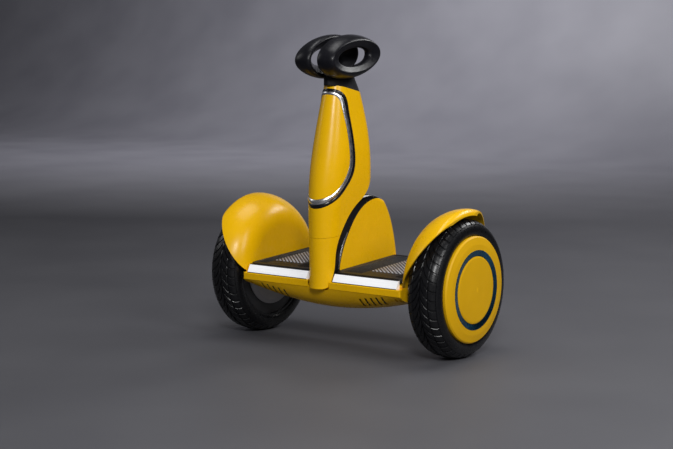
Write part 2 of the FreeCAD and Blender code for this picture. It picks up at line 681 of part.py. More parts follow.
def make_hump():
    half, wall, depth = size("hump_half_width"), size("wall"), size("body_half_depth")
    solid = hump_solid().cut(deck_cut(-size("mat_thickness") - 3))
    rear_lip = block((-half, half), (depth - size("lip_width"), depth), (100, size("lip_height") + 10))
    housing_room = block((-18.3, 18.3), (-100, -61), (100, size("pivot_height") + 17.3))
    solid = solid.cut(rear_lip).cut(housing_room)

    inner = [Vector(0, y, z) for y, z in (
        (-76, 120), (-74, 164), (-61, 197), (-40, 230), (-6, 263), (25, 277), (48, 279), (68, 272))]
    inner_rear = [Vector(0, y, z) for y, z in ((68, 272), (88, 246), (102, 213), (111, 179), (114, 120))]
    core = slab([curve(inner), curve(inner_rear), line(inner_rear[-1], inner[0])], half - wall)

    edge = band_edge()
    far = [point(74.5, 300), point(-140, 300), point(-140, 140)]
    band_area = slab([curve(edge), line(edge[-1], far[0]), line(far[0], far[1]), line(far[1], far[2]),
                      line(far[2], edge[0])], 60)
    band = solid.common(band_area)
    cover = solid.cut(band_area).cut(core)

    keep("hump_cover", shaped("hump_cover", cover))
    front = [point(y, z) for y, z in (
        (-92, 120), (-92, 165), (-81, 206), (-58, 246), (-20, 281), (10, 287))]
    corners = [front[-1], point(10, 250), point(-70, 120), front[0]]
    channel = slab([curve(front)] + [line(a, b) for a, b in zip(corners, corners[1:])], half - wall)
    pivot = Vector(0, -130, size("pivot_height"))
    shaft = Part.makeCylinder(size("shaft_radius") + 2, 80, pivot, Vector(0, 1, 0))
    band = band.cut(channel).cut(shaft)
    strip = [(-84.5, 158), (-81, 178), (-71, 203), (-56, 226)]
    inner_strip = [(-81.6, 158), (-77.8, 178), (-68.4, 201), (-54.6, 224.5)]
    first = curve([point(y, z) for y, z in strip])
    second = curve([point(y, z) for y, z in inner_strip])
    joins = [line(point(*strip[0]), point(*inner_strip[0])), line(point(*strip[-1]), point(*inner_strip[-1]))]
    rail = Part.Face(Part.Wire(Part.__sortEdges__([first, second] + joins)))
    rails = []
    for side in (1, -1):
        bar = rail.copy()
        bar.translate(Vector(side * (half - 1.2), 0, 0))
        rails.append(bar.extrude(Vector(side * 1.7, 0, 0)))
    for bar in rails:
        band = band.cut(bar)
    keep("hump_band", shaped("hump_band", band))
    keep("hump_rails", shaped("hump_rails", Part.makeCompound(rails)))


# ---------------------------------------------------------------- column

# height, front, back, half-width of the column's level sections; y in front of the axle is negative
COLUMN_SECTIONS = (
    (100, -130.8, 16, 28), (165, -130.8, 18, 28), (225, -130.8, 21, 30), (285, -130, 24, 33.5),
    (335, -125.5, 25, 35.5), (380, -117, 23, 35.5), (430, -105.5, 15, 32), (475, -94.5, 3, 27),
    (525, -80, -13, 20.5),
)
# side view of the column's back, as (y, z), where it leaves room for the hump
COLUMN_BACK = (
    (-116, 90), (-115, 118), (-111.5, 138), (-106, 155), (-103, 170), (-102, 186), (-98.5, 203), (-81, 237),
    (-54, 269), (-34, 283), (-17, 293.5), (-5, 306), (5, 321), (16, 342), (30, 372),
)
# side view of the edge of the column's front panel, from its upper rear corner down to the front
PANEL_EDGE = ((-79, 474), (-73, 432), (-67, 386), (-70.5, 349), (-92, 321), (-117, 301), (-150, 285))


def column_section(height, front, back, half, inset):
    """A level section: a round nose, straight flanks and a rounded back."""
    front, back, half = front + inset, back - inset, half - inset
    nose, tail = 1.15 * half, 0.9 * half
    shoulder, hip = front + nose, back - tail
    k = 0.5523
    right = [
        bezier(Vector(0, front, height), Vector(k * half, front, height),
               Vector(half, shoulder - k * nose, height), Vector(half, shoulder, height)),
        line(Vector(half, shoulder, height), Vector(half, hip, height)),
        bezier(Vector(half, hip, height), Vector(half, hip + k * tail, height),
               Vector(k * half, back, height), Vector(0, back, height))]
    left = [
        bezier(Vector(0, back, height), Vector(-k * half, back, height),
               Vector(-half, hip + k * tail, height), Vector(-half, hip, height)),
        line(Vector(-half, hip, height), Vector(-half, shoulder, height)),
        bezier(Vector(-half, shoulder, height), Vector(-half, shoulder - k * nose, height),
               Vector(-k * half, front, height), Vector(0, front, height))]
    return Part.Wire(right + left)


def column_loft(inset):
    return Part.makeLoft([column_section(*row, inset) for row in COLUMN_SECTIONS], True, False)


def back_tool(shift):
    """Room for the hump behind the column, moved forward by shift."""
    path = [point(y - shift, z + shift * 0.4) for y, z in COLUMN_BACK]
    low, high = point(120, 60), point(120, path[-1].z)
    edges = [curve(path), line(path[-1], high), line(high, low), line(low, point(path[0].y, 60)),
             line(point(path[0].y, 60), path[0])]
    return slab(edges, 80)


def top_tool(drop):
    """Everything above the column's sloping top."""
    front, rear = point(-150, 522 - drop), point(80, 473 - drop)
    high = [point(80, 700), point(-150, 700)]
    return slab([line(front, rear), line(rear, high[0]), line(high[0], high[1]), line(high[1], front)], 80)


def seam_tool(above, gap=0.0):
    """Everything above, or below, the seam round the column."""
    front, rear = point(-160, size("seam_height") - 2 + gap), point(80, size("seam_height") + 20 + gap)
    limit = 800 if above else 0
    far = [point(80, limit), point(-160, limit)]
    return slab([line(front, rear), line(rear, far[0]), line(far[0], far[1]), line(far[1], front)], 80)


def panel_area(grow):
    """The side outline of the column's front panel, grown by the given margin."""
    path = [point(y + 1.3 * grow, z - 0.35 * grow) for y, z in PANEL_EDGE]
    path[-1] = point(-150, PANEL_EDGE[-1][1] - 1.5 * grow)
    top_back, top_front = point(-90, 490 + 0.9 * grow), point(-150, 505 + 0.9 * grow)
    start = path[0]
    corner = bezier(start, point(-81 + 1.3 * grow, 487 + 0.6 * grow), top_back)
    far = point(-170, 505 + 0.9 * grow)
    low = point(-170, path[-1].z)
    return slab([corner, line(top_back, top_front), line(top_front, far), line(far, low),
                 line(low, path[-1]), curve(path[::-1])], 80)


def toe_shape(inset):
    """Front view of the column's foot: straight sides with rounded lower corners."""
    half, low, rounding = 60, size("toe_bottom") + inset, size("toe_round") - inset
    side = 28.5 - inset
    pole = block((-half, half), (-200, 100), (low + rounding, 800))
    foot = block((-side, side), (-200, 100), (low, low + rounding))
    edges = [edge for edge in foot.Edges
             if abs(edge.Vertexes[0].Z - low) < 0.01 and abs(edge.Vertexes[1].Z - low) < 0.01
             and abs(edge.Vertexes[0].X - edge.Vertexes[1].X) < 0.01]
    return pole.fuse(foot.makeFillet(rounding - 0.01, edges))


def tube_axis():
    lean = math.radians(size("tube_lean"))
    return Vector(0, math.sin(lean), math.cos(lean))


def tube_point(along):
    return Vector(0, -size("tube_foot"), size("tube_start")) + tube_axis() * along


def make_column():
    wall, band = size("wall"), size("trim_width")
    outer = column_loft(0).cut(back_tool(0)).cut(top_tool(0)).common(toe_shape(0))
    inner = column_loft(wall).cut(back_tool(wall)).cut(top_tool(wall))
    inner = inner.common(toe_shape(wall))
    pivot = Vector(0, -125, size("pivot_height"))
    shaft = Part.makeCylinder(size("shaft_radius"), 40, pivot, Vector(0, 1, 0))
    tube_top = tube_point(size("tube_length") - 20)
    post_hole = Part.makeCylinder(size("tube_radius") + 0.3, 60, tube_top, tube_axis())
    button = Part.makeCylinder(5.4, 40, Vector(0, -4, 450), Vector(0, 1, 0))

    shell = outer.cut(inner)
    foot = shell.cut(seam_tool(True)).cut(shaft)
    keep("column_foot", shaped("column_foot", foot))

    upper = shell.cut(seam_tool(False, size("seam_gap"))).cut(post_hole)
    panel = upper.common(panel_area(0))
    ring = upper.common(panel_area(band)).cut(panel_area(0))
    rear = upper.cut(panel_area(band)).cut(button)
    keep("column_panel", shaped("column_panel", panel))
    keep("column_trim", shaped("column_trim", ring))
    keep("column_shell", shaped("column_shell", rear))

    length, foot_y, foot_z = size("tube_length"), -size("tube_foot"), size("tube_start")
    place = Placement(Vector(0, foot_y, foot_z), Rotation(Vector(1, 0, 0), -size("tube_lean")))
    spine = doc.addObject("Part::Cylinder", "column_tube_outside")
    hollow = doc.addObject("Part::Cylinder", "column_tube_inside")
    for bar, radius in ((spine, "tube_radius"), (hollow, "post_radius + running_gap")):
        bind(bar, "Radius", radius)
        bind(bar, "Height", "tube_length")
        bar.Placement = place
    keep("column_tube", cut("column_tube", spine, hollow))

    knuckle = box("knuckle_block", ("-12", "12"), ("-124", "-118"), ("pivot_height - 12", "tube_start - 2"))
    pivot = rod("steering_bar", "y", "shaft_radius", "-120", "-60", x="0", z="pivot_height")
    keep("steering_shaft", join("steering_shaft", knuckle, pivot))
    keep("release_button", rod("release_button", "y", "5", "0", "14.5", x="0", z="450"))


def make_steering():
    """The housing in the hull that carries the column, with its bushes and sensor."""
    housing = box("housing_block", ("-18", "18"), ("-94", "-62"), ("parting_height - 2", "pivot_height + 17"))
    bore = rod("housing_bore", "y", "bush_radius", "-100", "-50", x="0", z="pivot_height")
    keep("steering_housing", cut("steering_housing", housing, bore))
    bushes = []
    for number, (low, high) in enumerate((("-94", "-84"), ("-72", "-62"))):
        outside = rod(f"bush_outside_{number}", "y", "bush_radius", low, high, x="0", z="pivot_height")
        inside = rod(f"bush_inside_{number}", "y", "shaft_radius + running_gap", low, high,
                     x="0", z="pivot_height")
        bushes.append(cut(f"bush_{number}", outside, inside))
    keep("steering_bushes", group("steering_bushes", *bushes))
    outside = rod("torsion_outside", "y", "bush_radius", "-83", "-73", x="0", z="pivot_height")
    inside = rod("torsion_inside", "y", "shaft_radius + 0.4", "-83", "-73", x="0", z="pivot_height")
    keep("centring_rubber", cut("centring_rubber", outside, inside))


# ---------------------------------------------------------------- knee pad

# distance from the vehicle's middle, and how far the ring's outside and its hole are from their
# greatest half-length and half-height there
RING_OUTSIDE = ((8, 4, 4), (13, 1, 1), (22, 0, 0), (34, 1.5, 3), (41, 4, 7), (46, 7, 11.5))
RING_HOLE = ((7.9, 25, 17), (17, 13, 8.5), (25, 3, 2), (31, 0, 0), (40, 2, 1.5), (46.1, 6, 4))


def ring_wire(x, half_length, half_height):
    """An ellipse at x about the knee ring's centre."""
    tilt = math.radians(size("pad_tilt"))
    centre = Vector(x, -size("pad_middle"), size("pad_height"))
    along = Vector(0, math.cos(tilt), math.sin(tilt))
    up = Vector(0, -math.sin(tilt), math.cos(tilt))
    edge = Part.Ellipse(centre + along * half_length, centre + up * half_height, centre).toShape()
    return Part.Wire([edge])


def make_knee_pad():
    length, height = size("pad_ring_length"), size("pad_ring_height")
    hole_length, hole_height = size("pad_hole_length"), size("pad_hole_height")
    outside = [ring_wire(x, length - less, height - lower) for x, less, lower in RING_OUTSIDE]
    inside = [ring_wire(x, hole_length + more, hole_height + higher) for x, more, higher in RING_HOLE]
    ring = Part.makeLoft(outside, True, False).cut(Part.makeLoft(inside, True, False))
    right = keep("knee_pad_right", shaped("knee_pad_right", ring))
    keep("knee_pad_left", mirrored("knee_pad_left", right))

    post = Part.makeCylinder(size("post_radius"), 110, tube_point(size("tube_length") - 60), tube_axis())
    post = post.common(block((-60, 60), (-200, 100), (300, 530)))
    keep("knee_post", shaped("knee_post", post))

    foot = ellipse_wire(Vector(0, -42, 0), 21, 51.5)
    foot.Placement = Placement(Vector(0, 0, 498), Rotation(Vector(1, 0, 0), -12), Vector(0, -42, 0))
    waist = ellipse_wire(Vector(0, -50, 514), 18.5, 45)
    throat = ellipse_wire(Vector(0, -53.5, 527), 18, 42)
    crown = ellipse_wire(Vector(0, -55, 538), 18, 44)
    neck = Part.makeLoft([foot, waist, throat, crown], True, False).cut(post)
    inner_face = size("pad_inner_face") - 0.1
    for low, high in ((inner_face, 60), (-60, -inner_face)):
        ends = [ring_wire(x, length, height) for x in (low, high)]
        neck = neck.cut(Part.makeLoft(ends, True, True))
    neck = neck.cut(column_loft(0).cut(top_tool(-0.4)))
    keep("knee_neck", shaped("knee_neck", neck))


# ---------------------------------------------------------------- frame and electrics

def make_frame():
    """The cast frame in the hull, with the saddles that hold the axles."""
    plate = box("frame_plate", ("-178", "178"), ("-94", "94"), ("parting_height - 6", "parting_height - 2"))
    ribs = [box(f"frame_rib_{i}", ("-172", "172"), (f"{y} - 2", f"{y} + 2"),
                ("parting_height - 2", "parting_height + 14")) for i, y in enumerate((-70, 70))]
    opening = box("frame_opening", ("-19", "19"), ("-75", "-65"), ("parting_height - 2", "200"))
    saddles, caps, screws = [], [], []
    for label, side in SIDES:
        span = ("150", "178") if side > 0 else ("-178", "-150")
        saddles.append(box(f"saddle_{label}", span, ("-22", "22"), ("parting_height - 2", "axle_height")))
        caps.append(box(f"cap_{label}", span, ("-22", "22"), ("axle_height", "axle_height + 10.5")))
        for x in (156, 172):
            for y in (-15, 15):
                tag = f"{label}_{x}_{y + 15}"
                shank = rod(f"shank_{tag}", "z", "2.5", "axle_height - 8", "axle_height + 10.5",
                            x=f"{side * x}", y=f"{y}")
                head = rod(f"head_{tag}", "z", "4.25", "axle_height + 10.5", "axle_height + 13.5",
                           x=f"{side * x}", y=f"{y}")
                screws.append(join(f"screw_{tag}", shank, head))
    clamp_screws = keep("clamp_screws", group("clamp_screws", *screws))
    axles = [rod(f"axle_room_{label}", "x", "axle_radius", f"{side * 164 - 30}", f"{side * 164 + 30}",
                 y="0", z="axle_height") for label, side in SIDES]
    room = join("saddle_tools", opening, *axles)
    shanks = join("screw_room", *screws)
    blank = cut("frame_with_bores", join("frame_casting", plate, *ribs, *saddles), room)
    keep("chassis_frame", cut("chassis_frame", blank, shanks))
    cap_pair = cut("caps_with_bores", group("cap_pair", *caps), room)
    keep("axle_clamps", cut("axle_clamps", cap_pair, shanks))
    return clamp_screws


def make_electrics():
    keep("battery_pack", box("battery_pack", ("-104", "104"), ("-48", "48"),
                             ("belly_height + 12", "parting_height - 6.5")))
    board = box("board_plate", ("38", "140"), ("-55", "55"), ("parting_height + 2", "parting_height + 3.6"))
    legs = [rod(f"standoff_{i}", "z", "3", "parting_height - 2", "parting_height + 2", x=f"{x}", y=f"{y}")
            for i, (x, y) in enumerate(((44, -49), (134, -49), (44, 49), (134, 49)))]
    keep("control_board", join("control_board", board, *legs))

    sink = prism("heat_sink", "XY_Plane", [("60", "-35"), ("120", "-35"), ("120", "35"), ("60", "35")],
                 "3", Placement(Vector(0, 0, size("parting_height") + 3.6), Rotation()))
    fin = outline(sink, "XY_Plane", [("60", "-35"), ("120", "-35"), ("120", "-32.5"), ("60", "-32.5")])
    pad = sink.newObject("PartDesign::Pad", "heat_sink_fin")
    pad.Profile = fin
    pad.Length = 11
    doc.recompute()
    fins = sink.newObject("PartDesign::LinearPattern", "heat_sink_fins")
    fins.Originals = [pad]
    fins.Direction = (origin_feature(sink, "Y_Axis"), [""])
    fins.Length = 67.5
    fins.Occurrences = 10
    sink.Tip = fins
    keep("heat_sink", sink)

    plate = box("sensor_plate", ("-110", "-60"), ("-25", "25"), ("parting_height", "parting_height + 1.6"))
    chip = box("sensor_chip", ("-92", "-78"), ("-7", "7"), ("parting_height + 1.6", "parting_height + 4"))
    leg = rod("sensor_leg", "z", "4", "parting_height - 2", "parting_height", x="-85", y="0")
    balance = join("balance_board", plate, chip, leg)
    angle = box("angle_board", ("-10", "10"), ("-59", "-57"), ("pivot_height - 18", "pivot_height + 10"))
    keep("sensor_boards", group("sensor_boards", balance, angle))

    height = "parting_height + 11.5"
    socket = rod("socket_outside", "y", "8", "body_half_depth - 20", "body_half_depth - 0.5",
                 x="-button_offset", z=height)
    jack = rod("socket_inside", "y", "4", "body_half_depth - 14", "body_half_depth",
               x="-button_offset", z=height)
    keep("charge_socket", cut("charge_socket", socket, jack))
    lid = rod("cap_disc", "y", "9", "body_half_depth + 0.4", "body_half_depth + 2.8",
              x="-button_offset", z=height)
    ear = rod("cap_hinge", "x", "1.2", "-button_offset - 5", "5 - button_offset",
              y="body_half_depth + 1.6", z=f"{height} + 9.6")
    keep("charge_cap", join("charge_cap", lid, ear))
    keep("power_button", rod("power_button", "y", "button_radius", "body_half_depth - 9",
                             "body_half_depth + 2", x="button_offset", z=height))


# ---------------------------------------------------------------- build, check and write

def check_and_write():
    doc.recompute()
    for thing in doc.Objects:
        failed = {"Invalid", "Error"} & set(thing.State)
        if failed:
            raise RuntimeError(f"{thing.Name} failed: {thing.State}")
    for name, thing in sub_parts.items():
        shape = thing.Shape
        if shape.isNull() or not shape.isValid() or not shape.Solids:
            raise RuntimeError(f"{name} has no valid solid")
    os.makedirs("parts", exist_ok=True)
    for name, thing in sub_parts.items():
        thing.Shape.exportStep(f"parts/{name}.step")
    print(len(sub_parts), "sub-parts written")


fill_sheet()
for label, side in SIDES:
    make_wheel(label, side)
    make_motor(label, side)
make_lower_shell()
make_stand_insert()
make_upper_shell()
make_fender()
make_lights()
make_mats()
make_hump()
make_column()
make_steering()
make_knee_pad()
make_frame()
make_electrics()
check_and_write()
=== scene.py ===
"""Looks of the two-wheel self-balancing vehicle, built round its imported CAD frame.

Everything is in metres, in the CAD's own frame: +Z is up, the front is -Y and the wheels' axis
lies along X. Tyre treads, foot mats, knee loops and seals are made here; the other CAD nodes keep
their shape and get a material.
"""

import json
import math

import bmesh
import bpy
import numpy as np
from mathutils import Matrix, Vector
from mathutils.bvhtree import BVHTree


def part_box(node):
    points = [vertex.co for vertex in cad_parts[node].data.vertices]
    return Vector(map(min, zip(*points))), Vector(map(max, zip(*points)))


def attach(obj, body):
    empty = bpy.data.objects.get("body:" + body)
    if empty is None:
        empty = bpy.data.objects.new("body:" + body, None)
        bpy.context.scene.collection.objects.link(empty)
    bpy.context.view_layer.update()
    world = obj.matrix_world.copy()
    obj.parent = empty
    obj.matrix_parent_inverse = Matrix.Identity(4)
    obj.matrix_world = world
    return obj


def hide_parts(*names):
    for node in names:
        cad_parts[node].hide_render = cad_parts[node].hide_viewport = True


MM = 0.001

# camera: it looks at a point of the axle's plane, from the front right and slightly above
VIEW_TARGET = Vector((-0.0449, 0.0, 0.2302))
VIEW_DISTANCE = 2.9386
VIEW_AZIMUTH = 36.41
VIEW_ELEVATION = 7.09
LENS = 79.47

# tyre: the tread's blocks, and how round its section is
CROWN_DROP = 0.175
CROWN_POWER = 3.2
TREAD_PITCHES = 46
TREAD_DEPTH = 2.6 * MM
GROOVE_WIDTH = 3.0 * MM
TREAD_SWEEP = 44 * MM
TREAD_BANDS = ((1.2 * MM, 16 * MM), (17.4 * MM, 33 * MM))
TREAD_BEVEL = 1.0 * MM
BLOCK_ROOT = 0.4 * MM
SHOULDER = 0.88
SIDEWALL = ((0.1, 26), (1.4, 28.8), (4, 29.8), (4, 35), (10.5, 35), (10.5, 46.9))

# foot mats: the deck rises to the rear by this slope
DECK_SLOPE = math.radians(2.75)
MAT_THICKNESS = 7.6 * MM
MAT_TOP = 8 * MM
MAT_CORNER = 14 * MM
MAT_NOTCH, MAT_NOTCH_REAR = 33 * MM, -93 * MM
MAT_FRONT_GAP = 0.4 * MM
RIB_PITCH = 6.3 * MM
GRIP_INNER, GRIP_OUTER = 84 * MM, 150 * MM
GRIP_FRONT, GRIP_REAR = -62 * MM, 68 * MM
GRIP_MARGIN = 5 * MM
FINE_INNER, FINE_OUTER, FINE_FRONT = 40 * MM, 174 * MM, -86 * MM
FINE_REAR_GAP, FINE_PITCH = 14 * MM, 5 * MM
RIB_TOP = ((-0.5, -0.3), (-0.5, 0.45), (-0.3, 0.9), (0.0, 1.0), (0.3, 0.9), (0.5, 0.45), (0.5, -0.3))
RIB_BASE = 0.7 * MM
RIB_END = 0.6 * MM

SIDES = (("right", 1), ("left", -1))

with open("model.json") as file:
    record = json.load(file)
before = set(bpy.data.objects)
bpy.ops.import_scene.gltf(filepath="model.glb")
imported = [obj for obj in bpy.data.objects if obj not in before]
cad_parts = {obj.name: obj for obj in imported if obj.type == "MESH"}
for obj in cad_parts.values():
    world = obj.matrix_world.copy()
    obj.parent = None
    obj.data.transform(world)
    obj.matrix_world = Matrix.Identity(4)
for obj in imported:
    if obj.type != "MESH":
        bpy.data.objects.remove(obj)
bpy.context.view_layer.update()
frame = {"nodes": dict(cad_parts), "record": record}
nodes = frame["nodes"]


# ---------------------------------------------------------------- mesh helpers

def mesh_object(name, verts, faces, material, body, sharp=35):
    """A new piece from points and faces, riding on a CAD body."""
    mesh = bpy.data.meshes.new(name)
    mesh.from_pydata([tuple(v) for v in verts], [], [tuple(f) for f in faces])
    mesh.update()
    piece = bpy.data.objects.new(name, mesh)
    bpy.context.scene.collection.objects.link(piece)
    mesh.materials.append(material)
    mesh.shade_smooth()
    mesh.set_sharp_from_angle(angle=math.radians(sharp))
    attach(piece, body)
    return piece


def grid_faces(rows, columns, close_rows=False, close_columns=False):
    """Quads of a grid of points, stored row by row."""
    faces = []
    for i in range(rows if close_rows else rows - 1):
        for j in range(columns if close_columns else columns - 1):
            a, b = i, (i + 1) % rows
            c, d = j, (j + 1) % columns
            faces.append([a * columns + c, b * columns + c, b * columns + d, a * columns + d])
    return faces


def add_part(points, faces, more_points, more_faces):
    """Put one more part's points and faces into the lists of a mesh."""
    first = len(points)
    points += more_points
    faces += [[first + corner for corner in face] for face in more_faces]


# ---------------------------------------------------------------- materials

class Nodes:
    """A short way to write a material's node tree."""

    def __init__(self, name, **settings):
        self.material = bpy.data.materials.new(name)
        self.material.use_nodes = True
        self.tree = self.material.node_tree
        self.shader = self.tree.nodes["Principled BSDF"]
        for key, value in settings.items():
            self.shader.inputs[key.replace("_", " ")].default_value = value
        self.place = self.add("ShaderNodeTexCoord").outputs["Object"]

    def add(self, kind, **values):
        node = self.tree.nodes.new(kind)
        for key, value in values.items():
            setattr(node, key, value)
        return node

    def link(self, source, target):
        self.tree.links.new(source, target)

    def noise(self, scale, detail=3.0, stretch=None):
        """Noise in metres of the object's own space; scale is features per metre."""
        node = self.add("ShaderNodeTexNoise")
        node.inputs["Scale"].default_value = scale
        node.inputs["Detail"].default_value = detail
        place = self.place
        if stretch:
            mapping = self.add("ShaderNodeMapping")
            mapping.inputs["Scale"].default_value = stretch
            self.link(place, mapping.inputs["Vector"])
            place = mapping.outputs["Vector"]
        self.link(place, node.inputs["Vector"])
        return node.outputs["Fac"]

    def spread(self, source, low, high):
        """The source, from 0.3 to 0.7, mapped to the range from low to high."""
        node = self.add("ShaderNodeMapRange")
        for key, value in zip(("From Min", "From Max", "To Min", "To Max"), (0.3, 0.7, low, high)):
            node.inputs[key].default_value = value
        self.link(source, node.inputs["Value"])
        return node.outputs["Result"]

    def tint(self, source, dark, light):
        """A colour between two, by the source."""
        node = self.add("ShaderNodeMix", data_type="RGBA")
        node.inputs["A"].default_value = (*dark, 1)
        node.inputs["B"].default_value = (*light, 1)
        self.link(source, node.inputs["Factor"])
        return node.outputs["Result"]

    def bump(self, source, distance):
        """Small relief of the given height."""
        node = self.add("ShaderNodeBump")
        node.inputs["Distance"].default_value = distance
        node.inputs["Strength"].default_value = 1.0
        self.link(source, node.inputs["Height"])
        self.link(node.outputs["Normal"], self.shader.inputs["Normal"])

    def finish(self, colour, roughness=None):
        self.link(colour, self.shader.inputs["Base Color"])
        if roughness is not None:
            self.link(roughness, self.shader.inputs["Roughness"])
        return self.material


def moulded(name, dark, light, rough, coat, grain=900, depth=0.02, specular=0.5):
    """Painted or moulded plastic: a slight cloudiness, uneven gloss and a fine orange peel."""
    m = Nodes(name, Coat_Weight=coat, Coat_Roughness=0.12, Specular_IOR_Level=specular)
    cloud = m.noise(14, 4)
    m.bump(m.noise(grain, 2), depth * MM)
    colour = m.tint(m.spread(cloud, 0, 1), dark, light)
    return m.finish(colour, m.spread(m.noise(60, 3), rough - 0.04, rough + 0.05))


def metal(name, dark, light, rough, stretch=None, scale=250, depth=0.01):
    """Bare metal with fine tool marks, drawn out along one axis if stretch is given."""
    m = Nodes(name, Metallic=1.0)
    marks = m.noise(scale, 4, stretch)
    m.bump(marks, depth * MM)
    return m.finish(m.tint(m.spread(marks, 0, 1), dark, light),
                    m.spread(m.noise(90), rough - 0.05, rough + 0.07))


def rubber(name, dark, light, rough, grain=1400, depth=0.05, specular=0.25):
    """Matt rubber with a fine grain."""
    m = Nodes(name, Specular_IOR_Level=specular)
    m.bump(m.noise(grain, 3), depth * MM)
    return m.finish(m.tint(m.spread(m.noise(35, 4), 0, 1), dark, light),
                    m.spread(m.noise(220), rough - 0.06, rough + 0.06))


def lens_white_painted_glow():
    """Frosted lens over a row of lamps, with fine ribs along it, and a faint emission: painted glow that
    stands in for strong light on the white lens.
    """
    # the faint emission is painted glow, a stand-in for strong light on the white lens
    m = Nodes("lens_white_painted_glow", Roughness=0.32, Coat_Weight=0.3, Emission_Strength=0.26)
    m.shader.inputs["Emission Color"].default_value = (0.95, 0.97, 1.0, 1)
    ribs = m.noise(500, 1, (0.02, 1, 1))
    m.bump(ribs, 0.15 * MM)
    return m.finish(m.tint(m.spread(ribs, 0, 1), (0.80, 0.82, 0.85), (0.95, 0.96, 0.98)))


def blue_bevel():
    """Blue anodised ring, turned round its axis, so that its highlight forms two streaks."""
    m = Nodes("blue_bevel", Metallic=1.0, Anisotropic=0.85, Coat_Weight=0.5, Coat_Roughness=0.05)
    tangent = m.add("ShaderNodeTangent", direction_type="RADIAL", axis="X")
    m.link(tangent.outputs["Tangent"], m.shader.inputs["Tangent"])
    marks = m.noise(300, 3)
    m.bump(marks, 0.004 * MM)
    return m.finish(m.tint(m.spread(marks, 0, 1), (0.015, 0.12, 0.26), (0.03, 0.22, 0.38)),
                    m.spread(m.noise(120), 0.20, 0.30))


def stacked_sheets():
    """The edges of thin steel sheets, stacked along X."""
    m = Nodes("stacked_sheets", Metallic=1.0)
    layers = m.add("ShaderNodeTexWave", wave_type="BANDS", bands_direction="X")
    layers.inputs["Scale"].default_value = 300
    m.link(m.place, layers.inputs["Vector"])
    m.bump(layers.outputs["Fac"], 0.2 * MM)
    return m.finish(m.tint(layers.outputs["Fac"], (0.16, 0.15, 0.14), (0.42, 0.40, 0.38)),
                    m.spread(m.noise(200), 0.35, 0.5))


def circuit_board():
    """Green lacquer over a grid of tracks."""
    m = Nodes("circuit_board", Coat_Weight=0.4)
    cells = m.add("ShaderNodeTexVoronoi", feature="DISTANCE_TO_EDGE", distance="MANHATTAN")
    cells.inputs["Scale"].default_value = 160
    m.link(m.place, cells.inputs["Vector"])
    m.bump(cells.outputs["Distance"], 0.1 * MM)
    return m.finish(m.tint(m.spread(cells.outputs["Distance"], 0, 1), (0.01, 0.10, 0.04), (0.03, 0.24, 0.10)),
                    m.spread(m.noise(150), 0.3, 0.45))


YELLOW_DARK, YELLOW_LIGHT = (0.84, 0.465, 0.001), (0.90, 0.505, 0.002)
LOOKS = {
    "yellow_shell": moulded("yellow_paint", YELLOW_DARK, YELLOW_LIGHT, 0.28, 0.05, specular=0.25),
    "black_gloss": moulded("black_gloss", (0.003, 0.003, 0.004), (0.006, 0.006, 0.008), 0.20, 0.3,
                           depth=0.008, specular=0.35),
    "bright_trim": metal("bright_plating", (0.80, 0.81, 0.84), (0.90, 0.91, 0.93), 0.28, depth=0.002),
    "light_lens": lens_white_painted_glow(),
    "tail_lens": moulded("tail_lens", (0.55, 0.56, 0.58), (0.70, 0.71, 0.73), 0.30, 0.4),
    "tyre_rubber": rubber("tyre_rubber", (0.003, 0.003, 0.004), (0.006, 0.006, 0.007), 0.30, specular=0.4),
    "mat_rubber": rubber("mat_rubber", (0.002, 0.002, 0.003), (0.005, 0.005, 0.006), 0.45, grain=1800),
    "pad_rubber": rubber("soft_touch_skin", (0.004, 0.004, 0.006), (0.008, 0.008, 0.011), 0.34, grain=2200,
                         depth=0.02),
    "soft_black": moulded("soft_black", (0.004, 0.004, 0.006), (0.008, 0.008, 0.010), 0.45, 0.0,
                          grain=1500, specular=0.25),
    "blue_ring": blue_bevel(),
    "cast_alloy": metal("cast_alloy", (0.46, 0.47, 0.49), (0.66, 0.67, 0.69), 0.42, scale=500, depth=0.06),
    "dark_alloy": moulded("dark_alloy", (0.012, 0.012, 0.014), (0.020, 0.020, 0.023), 0.45, 0.1, grain=700),
    "bright_steel": metal("bright_steel", (0.50, 0.51, 0.53), (0.68, 0.69, 0.71), 0.26, (1, 8, 8)),
    "magnet": metal("magnet_plating", (0.24, 0.25, 0.27), (0.40, 0.41, 0.43), 0.3, (6, 1, 1)),
    "laminations": stacked_sheets(),
    "brass": metal("turned_brass", (0.60, 0.42, 0.16), (0.80, 0.60, 0.28), 0.28),
    "bearing_bronze": metal("sintered_bronze", (0.42, 0.26, 0.12), (0.60, 0.40, 0.20), 0.45,
                            scale=1500, depth=0.08),
    "battery_wrap": moulded("battery_wrap", (0.03, 0.04, 0.09), (0.06, 0.08, 0.15), 0.3, 0.2,
                            grain=120, depth=0.2),
    "board_green": circuit_board(),
    "bump_rubber": rubber("bump_rubber", (0.012, 0.012, 0.013), (0.022, 0.022, 0.024), 0.6),
}
GRIP_GREY = rubber("grip_grey", (0.28, 0.28, 0.31), (0.42, 0.42, 0.46), 0.5, grain=1600)
# yellow of the hub covers and caps: a darker copy of the shell's yellow, painted shade; its matt finish
# (rougher, no coat) is its own
SHADED_COVER_YELLOW = moulded("cover_yellow_painted_shade", (0.72, 0.39, 0.001), (0.78, 0.43, 0.002), 0.5, 0.0, specular=0.25)
MOTOR_GREY = moulded("motor_grey", (0.36, 0.36, 0.39), (0.46, 0.46, 0.49), 0.4, 0.1, grain=700)


# nodes whose look differs from that of their slot, by the start of their name
OWN_LOOKS = (("hub_cover", SHADED_COVER_YELLOW), ("hub_cap", SHADED_COVER_YELLOW), ("motor_cover", MOTOR_GREY),
             ("column_trim", LOOKS["black_gloss"]))


